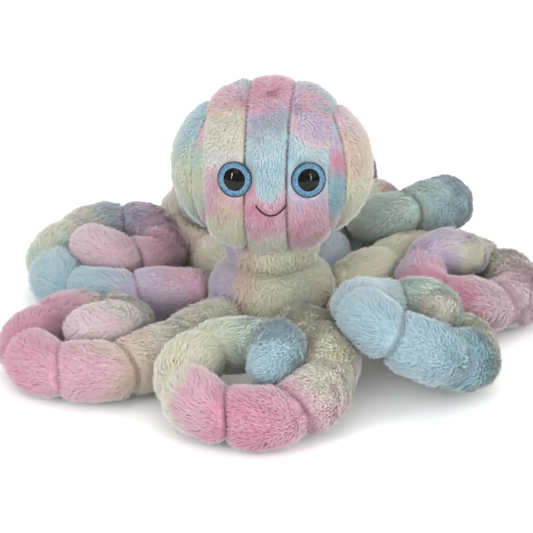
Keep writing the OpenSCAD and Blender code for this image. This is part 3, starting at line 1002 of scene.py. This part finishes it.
@dataclass
class Head:
    """The panelled head: three long strips over the middle, two sunk gussets and two side panels."""

    pile: Pile = Pile(length=8.0, width=0.62, density=0.55, lean=56.0, clump=0.35)
    rx: float = 93.0
    r: float = 84.0
    z: float = 175.0
    back: float = 6.0
    yaw: float = 5.0
    strip_w: float = 41.0
    puff: float = 5.0
    cloth_t: float = 3.0
    gap: float = 0.15
    inset: float = 4.5
    neck_phi: float = 68.0
    front_k: float = 0.55
    front_phi: float = 74.0
    face_shift: float = 6.0
    eye_gap: float = 67.0
    eye_up: float = 13.0
    eye_r: float = 17.0
    eye_deep: float = 3.0
    smile_w: float = 28.0
    smile_down: float = 10.0
    smile_sag: float = 10.0

    def place(self, local: Array) -> Array:
        """Points of the head's own frame, in the part's frame."""
        a = math.radians(-self.yaw)
        turn = np.array([[math.cos(a), -math.sin(a), 0], [math.sin(a), math.cos(a), 0], [0, 0, 1]])
        return local @ turn.T + np.array([0.0, self.back, self.z])

    def slice(self, x: Array) -> Array:
        """Size of the head's slice at x, as a share of the middle one."""
        return np.sqrt(np.maximum(0, 1 - (x / self.rx) ** 2))

    def base(self, x: Array, k: Array, phi: Array) -> Array:
        """Points of the bare head at x, on a slice of size k, at angle phi round it."""
        p = np.radians(phi)
        return np.stack(np.broadcast_arrays(x, -k * self.r * np.cos(p), k * self.r * np.sin(p)), -1)

    def out(self, p: Array) -> Array:
        """Which way the bare head faces at its points."""
        return unit(p / np.array([self.rx**2, self.r**2, self.r**2]))

    def raised(self, x: Array, k: Array, phi: Array, height: Array) -> Array:
        """Points at a height above the bare head, drawn in to leave room for the pile."""
        p = self.base(x, k, phi)
        return p + self.out(p) * np.broadcast_to(height - self.inset, p.shape[:-1])[..., None]

    def edge(self, phi: Array) -> Array:
        """Outer edge of a side gusset, as the size of the slice there."""
        strip_k = self.slice(np.array(1.5 * self.strip_w))
        turn = np.where(phi > 180, phi - 360, phi) / self.front_phi
        return np.where(np.abs(turn) < 1, self.front_k + (strip_k - self.front_k) * turn**2, strip_k)

    def eye_axes(self, side: int) -> tuple[Array, Array]:
        """An eye's middle on its seat, and which way it looks, in the head's own frame."""
        x = self.face_shift + side * self.eye_gap / 2
        k = math.sqrt(1 - (x / self.rx) ** 2 - (self.eye_up / self.r) ** 2)
        p = np.array([x, -k * self.r, self.eye_up])
        n = self.out(p)
        return p + n * (self.puff - self.eye_deep), n

    def press_eyes(self, points: Array) -> Array:
        """Presses the cloth down under the eyes."""
        for side in (-1, 1):
            spot, n = self.eye_axes(side)
            height = (points - spot) @ n
            off = np.linalg.norm(points - spot - height[..., None] * n, axis=-1)
            push = np.maximum(0, height + 1.0) * smooth((self.eye_r + 3.0 - off) / 2.5)
            near = np.abs(height) < 30
            points = points - (push * near)[..., None] * n
        return points

    def smile(self, count: int, height: float) -> Array:
        """Points along the smile, that high above the cloth."""
        u = np.linspace(-1, 1, count)
        x = self.face_shift + u * self.smile_w / 2
        z = -self.smile_down - self.smile_sag * (1 - u * u)
        k = self.slice(x)
        phi = np.degrees(np.arcsin(z / (self.r * k)))
        swell = np.sqrt(np.maximum(0, 1 - (0.8 * x / (self.strip_w / 2)) ** 2))
        return self.raised(x, k, phi, self.puff * swell + height)

    def face_room(self, points: Array) -> tuple[Array, Array]:
        """How long the pile may be, and how dense, near the eyes and the smile."""
        length = np.ones(points.shape[:-1])
        density = np.ones(points.shape[:-1])
        for side in (-1, 1):
            spot, n = self.eye_axes(side)
            height = (points - spot) @ n
            off = np.linalg.norm(points - spot - height[..., None] * n, axis=-1)
            front = np.abs(height) < 20
            length = np.where(front, length * (0.30 + 0.70 * smooth((off - self.eye_r) / 9)), length)
            density = np.where(front & (off < self.eye_r + 0.5), 0.0, density)
        line = self.smile(15, 0.0)
        off = np.min(np.linalg.norm(points[..., None, :] - line, axis=-1), axis=-1)
        length = length * (0.35 + 0.65 * smooth((off - 1.5) / 6))
        return length, density

    def cloth(self, outer: Array, along: Array, to_seam: Array, closed: bool, outside: float,
              short: float = 1.0) -> Cloth:
        """The outer face of a panel, ready for pile.

        Args:
            outer: its points in the head's own frame.
            along: places in the dye.
            to_seam: distances from the nearest seam.
            closed: whether the columns run round and join.
            outside: 1 or -1, the side on which the pile grows.
            short: share of the full length of pile.

        Returns:
            The cloth in the part's frame.
        """
        length, density = self.face_room(outer)
        close = smooth(to_seam / 7)
        down = np.broadcast_to(np.array([0.0, 0.22, -1.0]), outer.shape)
        points = self.place(outer)
        under = smooth((-outer[..., 2] / self.r - 0.80) / 0.15)
        return Cloth(
            points=points,
            comb=self.place(down) - self.place(np.zeros(3)),
            along=along,
            length=length * (0.45 + 0.55 * close) * short * (1 - 0.4 * under),
            density=density * (0.75 + 0.25 * close) * (1 - 0.5 * under) * smooth((to_seam - 0.3) / 1.4),
            lean=0.55 + 0.45 * close,
            sole=np.zeros_like(along),
            # painted shadow in the valley along each seam between panels
            seam=np.exp(-((to_seam / 1.5) ** 2)),
            closed=closed,
            outside=outside,
        )

    def dress(self, name: str, cloth: Cloth, inner: Array, finish: bpy.types.Material, seed: int,
              nodes: tuple[str, ...]) -> list[bpy.types.Object]:
        """Makes a panel's skin and its pile, and rides them on the head.

        Args:
            name: name of the panel.
            cloth: its outer face.
            inner: points of its lining, row for row.
            finish: its material.
            seed: picks where the tufts stand.
            nodes: the parts that it stands for.

        Returns:
            The two pieces.
        """
        values = cloth.skin_values()
        if cloth.closed:
            rings = np.concatenate([cloth.points[::-1], inner])
            full = {key: with_ends(np.concatenate([v[::-1], v])) for key, v in values.items()}
        else:
            rings = np.concatenate([cloth.points, inner[:, ::-1]], 1)
            full = {key: with_ends(np.concatenate([v, v[:, ::-1]], 1)) for key, v in values.items()}
        skin, tufts = upholster(name, cloth, rings, full, finish, self.pile, seed)
        for piece in (skin, tufts):
            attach(piece, "head")
        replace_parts(skin, *nodes)
        return [skin, tufts]

    def strip(self, name: str, middle: float, dyes: Dyes, groups: Groups, seed: int,
              nodes: tuple[str, ...]) -> list[bpy.types.Object]:
        """One long strip, from the neck at the front over the top to the neck at the back."""
        half = self.strip_w / 2 - self.gap
        u = np.sin(np.linspace(-math.pi / 2, math.pi / 2, 27))[None, :]
        phi = np.linspace(-self.neck_phi, 180 + self.neck_phi, 150)[:, None]
        x = middle + u * half + 0 * phi
        swell = np.sqrt(np.maximum(0, 1 - u**2)) ** 0.9
        lump = 1 + 0.10 * ripple(self.base(x, self.slice(x), phi), 30, seed)
        outer = self.raised(x, self.slice(x), phi, self.puff * swell * lump)
        inner = self.place(self.raised(x, self.slice(x), phi, -self.cloth_t + 0 * x))
        along = (phi + self.neck_phi) / (180 + 2 * self.neck_phi) + 0.012 * (1 if seed % 2 else -1) * u
        along = np.clip(along, 0, 1)
        to_seam = (1 - np.abs(u)) * half + 0 * x
        cloth = self.cloth(self.press_eyes(outer), along, to_seam, False, -1.0)
        finish = Plush(f"plush_{name}", dyes, wander=0.22).build(groups)
        return self.dress(name, cloth, inner, finish, seed, nodes)

    def gusset(self, side: int, name: str, dyes: Dyes, groups: Groups,
               seed: int) -> list[bpy.types.Object]:
        """The narrow, sunk panel beside the face."""
        strip_k = self.slice(np.array(1.5 * self.strip_w))
        reach = self.front_phi - 5
        phi = np.linspace(-reach, reach, 60)[:, None]
        t = np.linspace(0, 1, 14)[None, :]
        k = strip_k + (self.edge(phi) - strip_k) * t
        x = side * self.rx * np.sqrt(np.maximum(0, 1 - k * k))
        outer = self.raised(x, k, phi, 0.8 * np.sin(math.pi * t) + 0 * x)
        inner = self.place(self.raised(x, k, phi, -self.cloth_t + 0 * x))
        width = np.linalg.norm(outer[:, -1] - outer[:, 0], axis=-1)[:, None]
        to_seam = np.minimum(t, 1 - t) * width
        along = (phi + reach) / (2 * reach) + 0 * x
        cloth = self.cloth(outer, along, to_seam, False, -float(side), short=0.8)
        finish = Plush(f"plush_{name}", dyes, wander=0.30).build(groups)
        return self.dress(name, cloth, inner, finish, seed, (name,))

    def cheek(self, side: int, name: str, dyes: Dyes, groups: Groups,
              seed: int) -> list[bpy.types.Object]:
        """The large panel that wraps the side and the back of the head."""
        phi = np.linspace(0, 360, 110, endpoint=False)[None, :]
        t = np.linspace(1, 0.03, 34)[:, None]
        k = (self.edge(phi) - 0.004) * t
        x = side * self.rx * np.sqrt(np.maximum(0, 1 - k * k))
        swell = np.sqrt(np.maximum(0, 1 - t**4))
        lump = 1 + 0.12 * ripple(self.base(x, k, phi), 34, seed)
        outer = self.raised(x, k, phi, (self.puff + 2) * swell * lump)
        inner = self.place(self.raised(x, k, phi, -self.cloth_t + 0 * x))
        along = 0.5 + 0.5 * outer[..., 2] / self.r
        to_seam = np.linalg.norm(outer - outer[:1], axis=-1)
        cloth = self.cloth(outer, np.clip(along, 0, 1), to_seam, True, float(side))
        finish = Plush(f"plush_{name}", dyes, wander=0.40).build(groups)
        return self.dress(name, cloth, inner, finish, seed, (name,))

    def build(self, groups: Groups) -> list[bpy.types.Object]:
        """Makes all the panels of the head.

        Args:
            groups: the shader groups.

        Returns:
            The pieces.
        """
        d = Dye
        w = self.strip_w
        left = ((0, d.LEMON), (0.10, d.LEMON), (0.15, d.PEACH), (0.19, d.PINK), (0.225, d.PALE_PINK),
                (0.27, d.WHITE), (0.33, d.CREAM), (0.39, d.CREAM), (0.43, d.PEACH), (0.475, d.PINK),
                (0.53, d.GREY_BLUE), (0.62, d.BLUE), (0.72, d.LILAC), (0.82, d.PINK), (0.91, d.MINT),
                (1.0, d.LEMON))
        centre = ((0, d.CREAM), (0.09, d.CREAM), (0.13, d.PINK), (0.165, d.ROSE), (0.205, d.PINK),
                  (0.235, d.PALE_BLUE), (0.275, d.BLUE), (0.315, d.PALE_BLUE), (0.355, d.GREY_BLUE),
                  (0.39, d.LILAC), (0.42, d.PINK), (0.47, d.ROSE), (0.54, d.PINK), (0.66, d.LEMON),
                  (0.80, d.MINT), (1.0, d.BLUE))
        right = ((0, d.PEACH), (0.08, d.ROSE), (0.15, d.PINK), (0.195, d.LILAC), (0.225, d.PALE_BLUE),
                 (0.29, d.BLUE), (0.335, d.PALE_BLUE), (0.37, d.PALE_PINK), (0.42, d.LILAC),
                 (0.46, d.PINK), (0.51, d.GREY_BLUE), (0.57, d.PALE_BLUE), (0.68, d.PEACH),
                 (0.80, d.LEMON), (0.90, d.LILAC), (1.0, d.PINK))
        made = self.strip("head_strip_left", -w, left, groups, 11, ("head_strip_left",))
        made += self.strip("head_strip_centre", 0, centre, groups, 12,
                           ("head_strip_centre", "head_filling"))
        made += self.strip("head_strip_right", w, right, groups, 13, ("head_strip_right",))
        made += self.gusset(-1, "head_gusset_left", even(
            d.LILAC, d.PINK, d.MINT, d.LIME, d.MINT, d.PALE_PINK, d.PINK), groups, 14)
        made += self.gusset(1, "head_gusset_right", even(
            d.PINK, d.PALE_PINK, d.TEAL, d.TEAL, d.ROSE, d.LILAC, d.BLUE), groups, 15)
        made += self.cheek(-1, "head_side_left", even(
            d.LILAC, d.LILAC, d.MINT, d.LIME, d.MINT, d.BLUE, d.PALE_BLUE), groups, 16)
        made += self.cheek(1, "head_side_right", even(
            d.LEMON, d.LEMON, d.LIME, d.LEMON, d.PEACH, d.PALE_PINK, d.PINK), groups, 17)
        return made


# ---- face ----------------------------------------------------------------------------------------


@dataclass
class Face:
    """The two eyes and the stitched smile."""

    head: Head
    rim: float = 2.9
    rise: float = 6.8
    thread: float = 0.62
    strands: int = 2
    proud: float = 4.2

    def turned(self, profile: Array, side: int) -> Array:
        """Rings made by turning a profile of radius and height about an eye's axis."""
        spot, n = self.head.eye_axes(side)
        across = unit(np.cross(np.array([0.0, 0.0, 1.0]), n))
        up = np.cross(n, across)
        angle = np.linspace(0, 2 * math.pi, 72, endpoint=False)[None, :, None]
        radius, height = profile[:, None, :1], profile[:, None, 1:]
        local = spot + radius * (np.cos(angle) * across + np.sin(angle) * up) + height * n
        return self.head.place(local)

    def dome(self, side: int, word: str, finish: bpy.types.Material) -> bpy.types.Object:
        """The clear front of an eye, a closed dome with a softly rounded rim."""
        r = self.head.eye_r - 0.5
        ball = (r * r + self.rise**2) / (2 * self.rise)
        t = np.linspace(1, 0.02, 18)
        x = r * t
        top = self.rim + self.rise - ball + np.sqrt(ball * ball - x * x) + 0.9 * t**4 + 0.25
        under = np.linspace(0.02, 1, 8) * r
        profile = np.concatenate([
            np.stack([under, np.full(8, self.rim + 0.75)], -1),
            [[r + 0.25, self.rim + 0.60]],
            np.stack([x, top], -1),
        ])
        points, faces = loft_faces(self.turned(profile, side))
        piece = new_piece(f"eye_{word}_dome", points, faces)
        piece.data.materials.append(finish)
        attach(piece, "head")
        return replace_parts(piece, f"eye_lens_{word}")

    def collar(self, side: int, word: str, finish: bpy.types.Material) -> bpy.types.Object:
        """The thin dark rim that holds an eye's dome."""
        r = self.head.eye_r
        angle = np.linspace(0, 2 * math.pi, 14, endpoint=False)
        section = np.stack([r - 0.35 + 0.75 * np.cos(angle), 3.0 + 1.0 * np.sin(angle)], -1)
        rings = self.turned(np.concatenate([section, section[:1]]), side)
        n, m = rings.shape[1], len(section)
        i, k = np.meshgrid(np.arange(m), np.arange(n), indexing="ij")
        row, after, k_after = i * n, (i + 1) % m * n, (k + 1) % n
        quads = np.stack([row + k, row + k_after, after + k_after, after + k], -1)
        piece = new_piece(f"eye_{word}_rim", rings[:-1].reshape(-1, 3), [quads.reshape(-1, 4)[:, ::-1]])
        piece.data.materials.append(finish)
        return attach(piece, "head")

    def stitched_smile(self, finish: bpy.types.Material) -> bpy.types.Object:
        """The smile: two strands of dark thread twisted into one line."""
        count = 120
        path = self.head.place(self.head.smile(count, self.proud))
        way = unit(np.gradient(path, axis=0))
        side = unit(np.cross(way, np.array([0.0, 1.0, 0.0])))
        high = np.cross(side, way)
        far = np.concatenate([[0.0], np.cumsum(np.linalg.norm(np.diff(path, axis=0), axis=1))])
        around = np.linspace(0, 2 * math.pi, 8, endpoint=False)
        ends = np.sqrt(np.clip(1 - (1 - np.minimum(1, np.minimum(far, far[-1] - far) / 0.8)) ** 2, 0.05, 1))
        parts, faces, start = [], [], 0
        for strand in range(self.strands):
            twist = far / 2.6 * 2 * math.pi / 2 + strand * 2 * math.pi / self.strands
            offset = 0.38 * (np.cos(twist)[:, None] * side + np.sin(twist)[:, None] * high)
            ring = np.cos(around)[None, :, None] * side[:, None]
            ring = ring + np.sin(around)[None, :, None] * high[:, None]
            points, own = loft_faces((path + offset)[:, None] + self.thread * ends[:, None, None] * ring)
            parts.append(points)
            faces += [f + start for f in own]
            start += len(points)
        piece = new_piece("smile_thread", np.concatenate(parts), faces)
        piece.data.materials.append(finish)
        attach(piece, "head")
        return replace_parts(piece, "smile_stitching")

    def build(self, groups: Groups) -> list[bpy.types.Object]:
        """Makes the eyes and the smile, and dresses the eyes' inner parts.

        Args:
            groups: the shader groups.

        Returns:
            The new pieces.
        """
        lens = ClearLens("clear_dome").build()
        black = Moulded("black_pupil", (0.02, 0.02, 0.025), roughness=0.5, shine=0.1).build(groups)
        rim = Moulded("dark_rim", (0.16, 0.24, 0.32), roughness=0.2, coat=0.3).build(groups)
        washer = Moulded("white_washer", (0.90, 0.90, 0.88), roughness=0.4).build(groups)
        thread = Moulded("dark_thread", (0.16, 0.10, 0.13), roughness=0.8, grain=2500.0, relief=0.5)
        made = []
        for side, word in ((-1, "left"), (1, "right")):
            low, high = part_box(f"eye_iris_{word}")
            radius = (self.head.eye_r - 1) * MM
            glitter = Glitter(f"glitter_{word}", tuple((low + high) / 2), radius).build()
            for node, finish in ((f"eye_iris_{word}", glitter), (f"eye_pupil_{word}", black),
                                 (f"eye_post_{word}", black), (f"eye_washer_{word}", washer)):
                dress_node(node, finish)
            made += [self.dome(side, word, lens), self.collar(side, word, rim)]
        return [*made, self.stitched_smile(thread.build(groups))]


def dress_node(node: str, finish: bpy.types.Material) -> None:
    """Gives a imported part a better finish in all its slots."""
    data = frame["nodes"][node].data
    if not data.materials:
        data.materials.append(finish)
    for k in range(len(data.materials)):
        data.materials[k] = finish


# ---- body ----------------------------------------------------------------------------------------


@dataclass
class Body:
    """The small body under the head, and the soft neck that the head turns on."""

    pile: Pile = Pile(length=8.5)
    r: float = 60.0
    h: float = 80.0
    neck_r: float = 29.0
    neck_z: float = 88.0
    back: float = 6.0

    def turned(self, name: str, profile: Array, middle: Array, finish: bpy.types.Material, body: str,
               seed: int, nodes: tuple[str, ...]) -> list[bpy.types.Object]:
        """A furred shape made by turning a profile about an upright axis.

        Args:
            name: name of the piece.
            profile: radii and heights, from the bottom up.
            middle: a point on the axis.
            finish: its material.
            body: the body that it rides on.
            seed: picks where the tufts stand.
            nodes: the parts that it stands for.

        Returns:
            The skin and the pile.
        """
        step = np.concatenate([[0.0], np.cumsum(np.linalg.norm(np.diff(profile, axis=0), axis=1))])
        far = np.linspace(0, step[-1], int(step[-1] / 3))
        radius, height = np.interp(far, step, profile[:, 0]), np.interp(far, step, profile[:, 1])
        angle = np.linspace(0, 2 * math.pi, 96, endpoint=False)[None, :]
        radius, height = radius[:, None] + 0 * angle, height[:, None] + 0 * angle
        points = np.stack([radius * np.cos(angle), radius * np.sin(angle), height], -1) + middle
        ones = np.ones_like(radius)
        comb = points - middle
        comb = unit(comb * np.array([1.0, 1.0, 0.0])) - np.array([0.0, 0.0, 0.6])
        cloth = Cloth(points, comb, 0.5 + 0.5 * np.sin(angle + 1.2) * ones, ones,
                      smooth((height + middle[2] - 20) / 10) * ones, ones, 0 * ones, 0 * ones, outside=-1.0)
        values = {key: with_ends(value) for key, value in cloth.skin_values().items()}
        skin, tufts = upholster(name, cloth, points, values, finish, self.pile, seed)
        for piece in (skin, tufts):
            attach(piece, body)
        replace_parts(skin, *nodes)
        return [skin, tufts]

    def build(self, groups: Groups) -> list[bpy.types.Object]:
        """Makes the body and the neck.

        Args:
            groups: the shader groups.

        Returns:
            The pieces.
        """
        d = Dye
        plush = Plush("plush_body", (
            (0, d.LILAC), (0.10, d.PEACH), (0.22, d.LEMON), (0.5, d.LIME), (0.8, d.LEMON), (1, d.LIME),
        ), wander=0.22).build(groups)
        sole = Moulded("sole_felt", (0.93, 0.91, 0.87), roughness=0.9, grain=1400.0, relief=0.6)
        dress_node("base_panel", sole.build(groups))
        h, r = self.h, self.r
        outline = np.array([
            [2, 3.4], [r - 7, 3.4], [r - 1, 10], [r, 20], [r, 46], [r - 2, 56], [r - 7, h - 15],
            [r - 16, h - 7], [r - 29, h - 2.5], [18, h - 2], [2, h - 2],
        ])
        made = self.turned("body", outline, np.zeros(3), plush, "body", 31, ("body_filling", "body_collar"))
        r = self.neck_r
        bulge = np.array([
            [2, -r + 3], [r, -20], [r + 9, -12], [r + 14, -3], [r + 15, 6], [r + 13, 13], [r + 7, 18],
            [r - 5, 22], [2, 23],
        ])
        middle = np.array([0.0, self.back, self.neck_z])
        return made + self.turned("neck", bulge, middle, plush, "neck", 32, ("neck_filling",))


# ---- studio --------------------------------------------------------------------------------------


@dataclass
class Studio:
    """A pale floor, soft lights and the camera."""

    distance: float = 2.0
    elevation: float = 22.0
    target: tuple[float, float, float] = (-0.0055, 0.0, 0.070)
    focal_share: float = 2000.0 / 533.0
    sensor: float = 36.0
    surround: float = 1.30
    floor_size: float = 5.0

    def lay_floor(self) -> None:
        """A wide, plain floor that isn't part of the object."""
        s = self.floor_size / MM
        corners = np.array([[-s, -s, 0], [s, -s, 0], [s, s, 0], [-s, s, 0]])
        floor = new_piece("studio_floor", corners, [np.array([[0, 1, 2, 3]])])
        material, w, shader = start_material("studio_paper")
        place = w.add("ShaderNodeTexCoord").outputs["Object"]
        tone = w.noise(place, 3.0)
        white = to_linear((0.97, 0.97, 0.97))
        w.put(w.blend(tone, white, to_linear((0.955, 0.955, 0.955))), shader.inputs["Base Color"])
        shader.inputs["Roughness"].default_value = 0.9
        floor.data.materials.append(material)

    def panel(self, name: str, at: tuple[float, float, float], size: float, power: float,
              tall: float = 0.0, mirrored: bool = True) -> None:
        """A soft light that faces the object.

        Args:
            name: name of the light.
            at: where it stands, in metres.
            size: its width in metres.
            power: its power in watts.
            tall: its height in metres, the width if it is 0.
            mirrored: whether glossy surfaces reflect it.
        """
        data = bpy.data.lights.new(name, "AREA")
        data.shape = "RECTANGLE"
        data.size = size
        data.size_y = tall or size
        data.energy = power
        lamp = bpy.data.objects.new(name, data)
        lamp.location = at
        aim = Vector((0.0, 0.0, 0.1)) - Vector(at)
        lamp.rotation_euler = aim.to_track_quat("-Z", "Y").to_euler()
        lamp.visible_glossy = mirrored
        bpy.context.scene.collection.objects.link(lamp)

    def build(self) -> None:
        """Sets the floor, the lights, the surround and the camera."""
        scene = bpy.context.scene
        scene.view_settings.view_transform = "Standard"
        self.lay_floor()
        self.panel("key_light", (-0.9, -1.6, 1.9), 1.2, 5.0)
        self.panel("fill_light", (1.6, -1.3, 1.2), 1.2, 3.0)
        self.panel("top_light", (0.2, 0.6, 2.4), 1.6, 5.0)
        self.panel("left_strip_light", (-1.26, -1.42, 0.75), 0.16, 8.0, tall=0.9)
        self.panel("right_strip_light", (1.13, -1.53, 0.75), 0.16, 8.0, tall=0.9)
        self.panel("front_light", (0.2, -2.4, 0.5), 2.2, 16.0, tall=0.9, mirrored=False)
        world = bpy.data.worlds.new("studio_surround")
        world.use_nodes = True
        shade = world.node_tree.nodes["Background"]
        shade.inputs["Color"].default_value = (1.0, 1.0, 1.0, 1.0)
        shade.inputs["Strength"].default_value = self.surround
        scene.world = world
        world.cycles_visibility.glossy = False
        data = bpy.data.cameras.new("camera")
        data.sensor_width = self.sensor
        data.lens = self.sensor * self.focal_share
        camera = bpy.data.objects.new("camera", data)
        e = math.radians(self.elevation)
        target = Vector(self.target)
        camera.location = target + Vector((0.0, -math.cos(e), math.sin(e))) * self.distance
        camera.rotation_euler = (target - camera.location).to_track_quat("-Z", "Y").to_euler()
        scene.collection.objects.link(camera)
        scene.camera = camera


# ---- the whole octopus ---------------------------------------------------------------------------


def main() -> None:
    """Builds the octopus and its studio, and reports each piece."""
    logging.basicConfig(level=logging.INFO, format="%(message)s")
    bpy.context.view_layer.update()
    groups = Groups()
    head = Head()
    made = Body().build(groups)
    made += head.build(groups)
    made += Face(head).build(groups)
    for number, place in enumerate(ARMS, start=1):
        made += Arm(place, number).build(groups)
    Studio().build()
    for piece in made:
        log.info("%s: %d faces", piece.name, len(piece.data.polygons))


if __name__ == "__main__":
    main()
